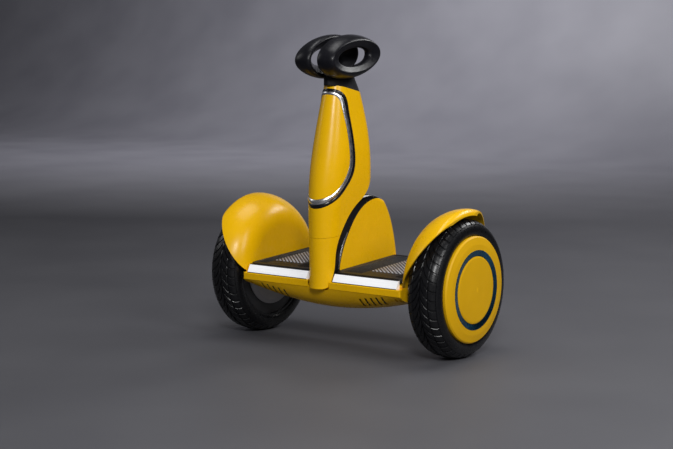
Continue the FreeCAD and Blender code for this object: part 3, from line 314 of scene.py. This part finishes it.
def dress_frame():
    """Give each CAD node the material of its slot, or its own."""
    slots = {entry["node"]: entry["material_slot"] for entry in frame["record"]["subparts"]}
    for name, node in nodes.items():
        material = LOOKS[slots[name]]
        for start, own in OWN_LOOKS:
            if name.startswith(start):
                material = own
        node.data.materials.clear()
        node.data.materials.append(material)


# ---------------------------------------------------------------- tyres

def tyre_radius(x, crown, half_width, drop=0.0):
    """Radius of the tread's surface, x from the tyre's middle plane."""
    share = min(abs(x) / half_width, 1.0)
    return crown - drop - CROWN_DROP * crown * (1 - math.sqrt(1 - share ** CROWN_POWER))


def tread_stations(crown, half_width):
    """The tread's surface from the middle plane outwards, as rows of (arc length, x, radius)."""
    rows, arc, last = [], 0.0, None
    for x in np.linspace(0, half_width, 200):
        radius = tyre_radius(x, crown, half_width)
        if last:
            arc += math.hypot(x - last[0], radius - last[1])
        rows.append((arc, x, radius))
        last = (x, radius)
    return np.array(rows)


def tread_place(arc, turn, lift, side, stations, middle, axle):
    """A point of the tread at an arc length from the middle plane and an angle round the axle."""
    x = np.interp(arc, stations[:, 0], stations[:, 1])
    radius = np.interp(arc, stations[:, 0], stations[:, 2])
    ahead_x = np.interp(arc + MM, stations[:, 0], stations[:, 1]) - x
    ahead_r = np.interp(arc + MM, stations[:, 0], stations[:, 2]) - radius
    length = math.hypot(ahead_x, ahead_r) or 1.0
    x -= lift * ahead_r / length
    radius += lift * ahead_x / length
    return (middle + side * x, -radius * math.cos(turn), axle + radius * math.sin(turn))


def tread_drop(arc):
    """How far round the tyre a groove has run at an arc length: steep first, flat at the edge."""
    share = min(arc / TREAD_BANDS[-1][1], 1.0)
    return TREAD_SWEEP * math.sqrt(1 - (1 - share) ** 2)


def tread_block(side, first_turn, band, stations, middle, axle, crown):
    """One raised block between two grooves, with bevelled edges."""
    pitch = math.tau / TREAD_PITCHES
    inner, outer = band
    arcs = [inner, inner + TREAD_BEVEL, *np.linspace(inner, outer, 9)[1:-1], outer - TREAD_BEVEL, outer]
    gap = GROOVE_WIDTH / crown / 2
    slope = TREAD_BEVEL / crown
    across = [gap, gap + slope, 0.5 * pitch, pitch - gap - slope, pitch - gap]
    last_row, last_column = len(arcs) - 1, len(across) - 1

    def place(i, j, lift):
        turn = first_turn - tread_drop(arcs[i]) / crown + across[j]
        return tread_place(arcs[i], turn, lift, side, stations, middle, axle)

    points = []
    for i in range(len(arcs)):
        for j in range(len(across)):
            edge = i in (0, last_row) or j in (0, last_column)
            points.append(place(i, j, -TREAD_BEVEL if edge else 0.0))
    top = grid_faces(len(arcs), len(across))
    rim = ([(0, j) for j in range(last_column)] + [(i, last_column) for i in range(last_row)]
           + [(last_row, j) for j in range(last_column, 0, -1)] + [(i, 0) for i in range(last_row, 0, -1)])
    first = len(points)
    points += [place(i, j, -TREAD_DEPTH - BLOCK_ROOT) for i, j in rim]
    walls = []
    for k, (i, j) in enumerate(rim):
        following = (k + 1) % len(rim)
        next_i, next_j = rim[following]
        walls.append([i * len(across) + j, next_i * len(across) + next_j, first + following, first + k])
    return points, top + walls


def make_tyre(label, side):
    """Carcass turned round the axle, with swept tread blocks on both halves."""
    low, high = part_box(f"tyre_{label}")
    middle = (low.x + high.x) / 2
    half_width = (high.x - low.x) / 2
    axle = (low.z + high.z) / 2
    crown = (high.z - low.z) / 2
    stations = tread_stations(crown, half_width)

    side_profile = [(half_width - inset * MM, crown - depth * MM) for inset, depth in SIDEWALL]
    tread = [(x, tyre_radius(x, crown, half_width, TREAD_DEPTH if x < SHOULDER * half_width else 0))
             for x in half_width * np.sin(np.linspace(0, math.pi / 2, 30))]
    half = tread + side_profile
    profile = [(-x, r) for x, r in reversed(half[1:])] + half
    turns = np.linspace(0, math.tau, 144, endpoint=False)
    points = [(middle + side * x, -r * math.cos(t), axle + r * math.sin(t))
              for t in turns for x, r in profile]
    faces = grid_faces(len(turns), len(profile), close_rows=True)

    pitch = math.tau / TREAD_PITCHES
    for half_side in (1, -1):
        shift = 0.0 if half_side > 0 else 0.5 * pitch
        for number in range(TREAD_PITCHES):
            for band in TREAD_BANDS:
                block = tread_block(half_side, number * pitch + shift, band, stations, middle, axle, crown)
                add_part(points, faces, *block)
    piece = mesh_object(f"tread_tyre_{label}", points, faces, LOOKS["tyre_rubber"], f"wheel_{label}",
                        sharp=30)
    fix_normals(piece)
    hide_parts(f"tyre_{label}")


def fix_normals(piece):
    """Turn every face outwards."""
    work = bmesh.new()
    work.from_mesh(piece.data)
    bmesh.ops.recalc_face_normals(work, faces=work.faces)
    work.to_mesh(piece.data)
    work.free()


# ---------------------------------------------------------------- foot mats

def mat_level(y, front, height):
    """Height of the mat's sloping top at y, with the given height at its front."""
    return height + math.tan(DECK_SLOPE) * (y - front)


def mat_outline(side, low, high):
    """Corners of a mat seen from above, rounded at its outer corners and notched at the column."""
    inner, outer = (low.x, high.x) if side > 0 else (-high.x, -low.x)
    front, rear = low.y + MAT_FRONT_GAP, high.y
    centre_x = outer - MAT_CORNER
    corners = [(MAT_NOTCH, front), (centre_x, front)]
    for centre_y, start in ((front + MAT_CORNER, -90), (rear - MAT_CORNER, 0)):
        for step in range(9):
            angle = math.radians(start + 90 * step / 8)
            corners.append((centre_x + MAT_CORNER * math.cos(angle), centre_y + MAT_CORNER * math.sin(angle)))
    corners += [(inner, rear), (inner, MAT_NOTCH_REAR), (MAT_NOTCH, MAT_NOTCH_REAR)]
    return [(side * x, y) for x, y in corners]


def make_mat(label, side):
    """A rubber mat with a bevelled rim, a raised border and a zone of diagonal ribs."""
    low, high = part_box(f"foot_mat_{label}")
    front = low.y
    level = low.z + MAT_TOP * math.cos(DECK_SLOPE)
    outline = mat_outline(side, low, high)
    centre = np.mean(outline, axis=0)

    def ring(inset, depth):
        shrunk = []
        for x, y in outline:
            away = np.array((x, y)) - centre
            away /= np.linalg.norm(away)
            x, y = x - inset * np.sign(away[0]), y - inset * np.sign(away[1])
            shrunk.append((x, y, mat_level(y, front, level) - depth))
        return shrunk

    rings = [ring(0, MAT_THICKNESS), ring(0, 1.2 * MM), ring(0.4 * MM, 0.4 * MM), ring(1.2 * MM, 0.0),
             ring(5 * MM, 0.0), ring(5.6 * MM, RIB_BASE)]
    points = [p for one in rings for p in one]
    count = len(outline)
    faces = grid_faces(len(rings), count, close_columns=True)
    faces.append(list(range((len(rings) - 1) * count, len(rings) * count)))
    faces.append(list(range(count - 1, -1, -1)))
    body = f"foot_mat_{label}"
    mat = mesh_object(f"mat_{label}", points, faces, LOOKS["mat_rubber"], body, sharp=50)
    triangulated(mat)
    fix_normals(mat)
    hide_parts(body)
    make_ribs(label, side, front, level, body)
    make_fine_ribs(label, side, front, level, body, high.y)


def triangulated(piece):
    """Split the faces that have more than four corners."""
    work = bmesh.new()
    work.from_mesh(piece.data)
    bmesh.ops.triangulate(work, faces=[face for face in work.faces if len(face.verts) > 4])
    work.to_mesh(piece.data)
    work.free()


def rib_run(start, end, front, level, width, height):
    """A straight rib with a rounded top on the sloping mat, from one place to another."""
    start, end = np.array(start), np.array(end)
    along = (end - start) / np.linalg.norm(end - start)
    across = np.array((along[1], -along[0]))
    stops = ((start - along * RIB_END, 0.5), (start, 1), (end, 1), (end + along * RIB_END, 0.5))
    points = []
    for place, shrink in stops:
        for s, h in RIB_TOP:
            x, y = place + across * s * width
            points.append((x, y, mat_level(y, front, level) - RIB_BASE + h * height * shrink))
    return points, grid_faces(len(stops), len(RIB_TOP))


def make_ribs(label, side, front, level, body):
    """Grey ribs that run diagonally, outwards and forwards on the right mat."""
    inner, outer = GRIP_INNER, GRIP_OUTER
    low_x, high_x = (inner, outer) if side > 0 else (-outer, -inner)
    points, faces = [], []
    step = RIB_PITCH * math.sqrt(2)
    offset = low_x + GRIP_FRONT + step / 2
    while offset < high_x + GRIP_REAR:
        start_x = max(low_x, offset - GRIP_REAR)
        end_x = min(high_x, offset - GRIP_FRONT)
        if end_x - start_x > 3 * MM:
            rib = rib_run((start_x, offset - start_x), (end_x, offset - end_x), front, level,
                          3.6 * MM, 1.5 * MM)
            add_part(points, faces, *rib)
        offset += step
    ribs = mesh_object(f"grip_ribs_{label}", points, faces, GRIP_GREY, body, sharp=60)
    fix_normals(ribs)


def make_fine_ribs(label, side, front, level, body, rear):
    """Low black ribs along the mat on both sides of the grip zone."""
    points, faces = [], []
    for low_x, high_x in ((FINE_INNER, GRIP_INNER - GRIP_MARGIN), (GRIP_OUTER + GRIP_MARGIN, FINE_OUTER)):
        for x in np.arange(low_x, high_x, FINE_PITCH):
            rib = rib_run((side * x, FINE_FRONT), (side * x, rear - FINE_REAR_GAP), front, level,
                          2.4 * MM, 0.9 * MM)
            add_part(points, faces, *rib)
    ribs = mesh_object(f"fine_ribs_{label}", points, faces, LOOKS["mat_rubber"], body,
                       sharp=60)
    fix_normals(ribs)


# ---------------------------------------------------------------- knee loops

# the loop's section: distance from the vehicle's middle, half-length and half-height, in
# millimetres, from the inner rim over the crowned band to the lip, the dished face and the hole
LOOP_SECTION = (
    (8.0, 77.5, 36.2), (9.5, 80.3, 39.0), (13.0, 82.4, 41.0), (22.0, 83.4, 41.9), (34.0, 82.0, 39.2),
    (41.0, 79.6, 35.2), (44.6, 77.6, 32.0), (45.8, 75.6, 29.6), (45.2, 72.5, 27.6), (43.2, 66.0, 24.6),
    (41.6, 59.5, 21.4), (40.4, 54.6, 18.9), (38.4, 51.0, 17.2), (35.0, 49.3, 16.4), (31.0, 49.0, 16.3),
    (27.5, 50.3, 17.2), (22.0, 56.0, 20.8), (16.0, 64.0, 26.0), (11.0, 71.0, 31.0), (8.6, 74.6, 34.0))
LOOP_TILT = math.radians(6)


def make_knee_loop(label, side):
    """A soft loop, hollow towards the middle, with a crowned band and a dished outer face."""
    low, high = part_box(f"knee_pad_{label}")
    centre_y, centre_z = (low.y + high.y) / 2, (low.z + high.z) / 2
    ahead, rise = math.cos(LOOP_TILT), math.sin(LOOP_TILT)
    turns = np.linspace(0, math.tau, 112, endpoint=False)
    points = []
    for turn in turns:
        for x, half_length, half_height in LOOP_SECTION:
            along = half_length * math.cos(turn) * MM
            up = half_height * math.sin(turn) * MM
            points.append((side * x * MM, centre_y + along * ahead - up * rise,
                           centre_z + along * rise + up * ahead))
    faces = grid_faces(len(turns), len(LOOP_SECTION), close_rows=True, close_columns=True)
    loop = mesh_object(f"knee_loop_{label}", points, faces, LOOKS["pad_rubber"], "knee_rest",
                       sharp=80)
    fix_normals(loop)
    refine = loop.modifiers.new("round", "SUBSURF")
    refine.levels = refine.render_levels = 1
    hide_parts(f"knee_pad_{label}")


# ---------------------------------------------------------------- seals, trims and painted shade in the slots

# a point (y, z) of the column's middle line, and how far back the line runs for each metre up
COLUMN_MIDDLE, COLUMN_LEAN = (-0.075, 0.3), 0.08
RAY_START = 30 * MM

# profiles of the column's trim: share of the way from the panel to the shell, and lift in millimetres
STRIP_PROFILE = ((0.02, -1.5), (0.03, 0.4), (0.12, 1.2), (0.30, 1.7), (0.48, 1.2), (0.57, 0.4),
                 (0.58, -1.5))
SEAL_PROFILE = ((0.60, -1.5), (0.61, 0.6), (0.66, 1.1), (0.82, 1.1), (0.91, 0.7), (0.97, 0.1),
                (0.98, -1.5))

# black plates in the hull's slots, painted shade for the slots' dark inside: columns between the slots in
# millimetres, the rise above the belly, the top edge and the depth under the hull's surface, which is found
# from below at y and from far ahead
SLOT_COLUMNS = (84.5, 97.5, 110.5, 123.5, 136.5, 149.5)
SLOT_ROWS = 7
SLOT_RISE = 9 * MM
SLOT_TOP = 121 * MM
SLOT_DEPTH = 1.4 * MM
BELLY_Y, FAR_AHEAD = -70 * MM, -200 * MM


def joined_mesh(name):
    """A welded copy of a CAD node's mesh, as bmesh, for reading its edges."""
    work = bmesh.new()
    work.from_mesh(nodes[name].data)
    bmesh.ops.remove_doubles(work, verts=work.verts, dist=0.02 * MM)
    return work


def outer_rim(name, inside):
    """The points of the closed outer edge of a thin shell piece, in order.

    The rim is the longest chain of sharp edges, and its points lie further than the others from
    the inside line, which is a function of height that gives a point within the piece."""
    work = joined_mesh(name)
    sharp = [edge for edge in work.edges if len(edge.link_faces) == 2
             and edge.calc_face_angle() > math.radians(50)]
    links = {}
    for edge in sharp:
        a, b = edge.verts
        links.setdefault(a, []).append(b)
        links.setdefault(b, []).append(a)
    loops, seen = [], set()
    for start in links:
        if start in seen:
            continue
        loop, current = [start], start
        seen.add(start)
        while True:
            ahead = [v for v in links[current] if v not in seen]
            if not ahead:
                break
            current = ahead[0]
            seen.add(current)
            loop.append(current)
        loops.append(loop)

    def reach(loop):
        return np.mean([(v.co - inside(v.co.z)).length for v in loop])

    longest = sorted(loops, key=len)[-2:]
    rim = max(longest, key=reach)
    points = np.array([tuple(v.co) for v in rim])
    work.free()
    return points


def even_loop(points, count):
    """The closed loop resampled at even distances and lightly smoothed."""
    closed = np.vstack([points, points[:1]])
    steps = np.concatenate([[0], np.cumsum(np.linalg.norm(np.diff(closed, axis=0), axis=1))])
    places = np.linspace(0, steps[-1], count, endpoint=False)
    even = np.stack([np.interp(places, steps, closed[:, k]) for k in range(3)], axis=1)
    for _ in range(5):
        even = 0.5 * even + 0.25 * (np.roll(even, 1, 0) + np.roll(even, -1, 0))
    return even


def column_surface():
    """The column's outer skin as one search tree."""
    verts, faces = [], []
    for name in ("column_foot", "column_shell", "column_panel", "column_trim"):
        first = len(verts)
        mesh = nodes[name].data
        verts += [v.co.copy() for v in mesh.vertices]
        faces += [[first + i for i in face.vertices] for face in mesh.polygons]
    return BVHTree.FromPolygons(verts, faces)


def surface_normals(points, tree, inside):
    """Outward directions of the skin at the points, smoothed along the run."""
    normals = []
    for point in points:
        place = Vector(point)
        outward = (place - inside(place.z)).normalized()
        hit, normal, _, _ = tree.ray_cast(place + outward * RAY_START, -outward)
        normals.append(tuple(normal if hit and normal.dot(outward) > 0 else outward))
    normals = smoothed(np.array(normals), 12)
    return normals / np.linalg.norm(normals, axis=1)[:, None]


def column_inside(z):
    """A point on the column's middle line at a height."""
    y, height = COLUMN_MIDDLE
    return Vector((0, y + COLUMN_LEAN * (z - height), z))


def make_column_trim():
    """A bright strip round the front panel and a black seal between it and the rear shell."""
    tree = column_surface()
    panel = even_loop(outer_rim("column_panel", column_inside), 280)
    shell = even_loop(outer_rim("column_trim", column_inside), 1400)
    normals = surface_normals(panel, tree, column_inside)
    nearest = [shell[np.argmin(np.linalg.norm(shell - p, axis=1))] for p in panel]
    across = smoothed(np.array(nearest) - panel, 12)
    for name, profile, look in (("trim_strip", STRIP_PROFILE, "bright_trim"),
                                ("trim_seal", SEAL_PROFILE, "black_gloss")):
        points = [p + a * share + n * lift * MM for p, a, n in zip(panel, across, normals)
                  for share, lift in profile]
        faces = grid_faces(len(panel), len(profile), close_rows=True, close_columns=True)
        piece = mesh_object(name, points, faces, LOOKS[look], "column", sharp=50)
        fix_normals(piece)


def smoothed(rows, times):
    """A closed run of vectors, each averaged with its neighbours."""
    for _ in range(times):
        rows = 0.5 * rows + 0.25 * (np.roll(rows, 1, 0) + np.roll(rows, -1, 0))
    return rows


def make_vent_shade_plates():
    """Black plates in the slots of the hull, just under its outer side: painted shade that stands in for the
    dark inside of the slots.
    """
    tree = BVHTree.FromObject(nodes["lower_shell"], bpy.context.evaluated_depsgraph_get())
    for label, side in SIDES:
        columns = [side * x * MM for x in SLOT_COLUMNS]
        points = []
        for x in columns:
            belly = tree.ray_cast(Vector((x, BELLY_Y, 0)), Vector((0, 0, 1)))[0].z
            for z in np.linspace(belly + SLOT_RISE, SLOT_TOP, SLOT_ROWS):
                hit = tree.ray_cast(Vector((x, FAR_AHEAD, z)), Vector((0, 1, 0)))[0]
                points.append((x, hit.y + SLOT_DEPTH, z))
        # the black plate is painted shade inside the slots
        plate = mesh_object(f"vent_shade_plate_{label}", points, grid_faces(len(columns), SLOT_ROWS),
                            LOOKS["soft_black"], "chassis")
        thicken = plate.modifiers.new("thick", "SOLIDIFY")
        thicken.thickness = 0.6 * MM
        thicken.offset = 0


def strip_along_x(name, x_low, x_high, outline, material):
    """A straight seal with the given outline (y, z), mirrored to both sides."""
    points, faces = [], []
    for side in (1, -1):
        bar = [(side * x, y, z) for x in (x_low, x_high) for y, z in outline]
        sides = grid_faces(2, len(outline), close_columns=True)
        ends = [list(range(len(outline))), list(range(2 * len(outline) - 1, len(outline) - 1, -1))]
        add_part(points, faces, bar, sides + ends)
    piece = mesh_object(name, points, faces, material, "chassis", sharp=40)
    fix_normals(piece)


def make_light_seals():
    """Black seals under and behind the light bars."""
    for node, facing in (("front_lights", -1), ("tail_lights", 1)):
        low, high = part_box(node)
        x_low, x_high = 31.6 * MM, high.x
        foot = facing * max(abs(low.y), abs(high.y))
        back = facing * min(abs(low.y), abs(high.y))
        under = [(foot - facing * 0.4 * MM, low.z - 0.1 * MM), (foot + facing * 0.7 * MM, low.z - 0.1 * MM),
                 (foot + facing * 0.9 * MM, low.z + 0.5 * MM), (foot + facing * 0.6 * MM, low.z + 1.1 * MM),
                 (foot - facing * 0.4 * MM, low.z + 1.1 * MM)]
        above = [(back, high.z), (back + facing * 3.6 * MM, high.z - 0.4 * MM),
                 (back + facing * 3.3 * MM, high.z + 0.4 * MM), (back + facing * 2.4 * MM, high.z + 0.8 * MM),
                 (back, high.z + 0.8 * MM)]
        strip_along_x(f"{node}_foot_seal", x_low, x_high, under, LOOKS["soft_black"])
        strip_along_x(f"{node}_top_seal", x_low, x_high, above, LOOKS["mat_rubber"])


# ---------------------------------------------------------------- room, light and camera

def make_room():
    """A dark floor that bends up into a backdrop."""
    floor_material = Nodes("dark_floor", Roughness=0.6)
    colour = floor_material.tint(floor_material.spread(floor_material.noise(3, 2), 0, 1),
                                 (0.075, 0.075, 0.085), (0.09, 0.09, 0.10))
    material = floor_material.finish(colour)
    turns = np.linspace(0, math.pi / 2, 13)
    bend, rear, wide = 1.2, 4.0, 9.0
    line = [(-7.0, 0.0), (rear, 0.0)]
    line += [(rear + bend * math.sin(t), bend - bend * math.cos(t)) for t in turns[1:]]
    line.append((rear + bend, 6.0))
    points = [(x, y, z) for y, z in line for x in (-wide, wide)]
    mesh = bpy.data.meshes.new("floor")
    mesh.from_pydata(points, [], grid_faces(len(line), 2))
    mesh.materials.append(material)
    mesh.shade_smooth()
    floor = bpy.data.objects.new("floor", mesh)
    bpy.context.scene.collection.objects.link(floor)


# name, place, target, width, height, power and colour of each lamp
MIDDLE, WHITE = (0, 0, 0.3), (1, 1, 1)
LAMPS = (
    ("key", (1.7, -2.2, 1.8), MIDDLE, 0.6, 0.6, 48, WHITE),
    ("left", (-2.3, -1.0, 1.6), MIDDLE, 0.7, 1.2, 6, WHITE),
    ("right", (2.5, -0.7, 1.7), MIDDLE, 0.8, 1.2, 28, WHITE),
    ("rim", (0.9, 2.2, 1.9), MIDDLE, 1.4, 0.6, 26, WHITE),
    ("top", (0, 0.2, 2.6), MIDDLE, 1.2, 1.2, 20, WHITE),
    ("backdrop", (-2.6, 3.2, 2.6), (-3.8, 5.2, 0.7), 3.0, 0.8, 230, (0.95, 0.94, 1.0)),
)


def softbox(name, place, target, width, height, power, colour):
    """A rectangular lamp at a place, facing its target."""
    lamp = bpy.data.lights.new(name, "AREA")
    lamp.shape = "RECTANGLE"
    lamp.size, lamp.size_y = width, height
    lamp.energy = power
    lamp.color = colour
    box = bpy.data.objects.new(name, lamp)
    box.location = place
    box.rotation_euler = (Vector(target) - Vector(place)).to_track_quat("-Z", "Y").to_euler()
    bpy.context.scene.collection.objects.link(box)


def make_lights():
    """Soft lamps round the vehicle, one for the backdrop, and a dim world."""
    for lamp in LAMPS:
        softbox(*lamp)
    world = bpy.data.worlds.new("studio")
    world.use_nodes = True
    world.node_tree.nodes["Background"].inputs["Color"].default_value = (0.55, 0.56, 0.60, 1)
    world.node_tree.nodes["Background"].inputs["Strength"].default_value = 0.16
    bpy.context.scene.world = world
    bpy.context.scene.view_settings.view_transform = "Standard"


def make_camera():
    """The camera of the main view."""
    azimuth, elevation = math.radians(VIEW_AZIMUTH), math.radians(VIEW_ELEVATION)
    back = Vector((math.sin(azimuth) * math.cos(elevation), -math.cos(azimuth) * math.cos(elevation),
                   math.sin(elevation)))
    lens = bpy.data.cameras.new("camera")
    lens.lens = LENS
    camera = bpy.data.objects.new("camera", lens)
    camera.location = VIEW_TARGET + back * VIEW_DISTANCE
    camera.rotation_euler = back.to_track_quat("Z", "Y").to_euler()
    bpy.context.scene.collection.objects.link(camera)
    bpy.context.scene.camera = camera


dress_frame()
for label, side in SIDES:
    make_tyre(label, side)
    make_mat(label, side)
    make_knee_loop(label, side)
make_column_trim()
make_vent_shade_plates()
make_light_seals()
make_room()
make_lights()
make_camera()
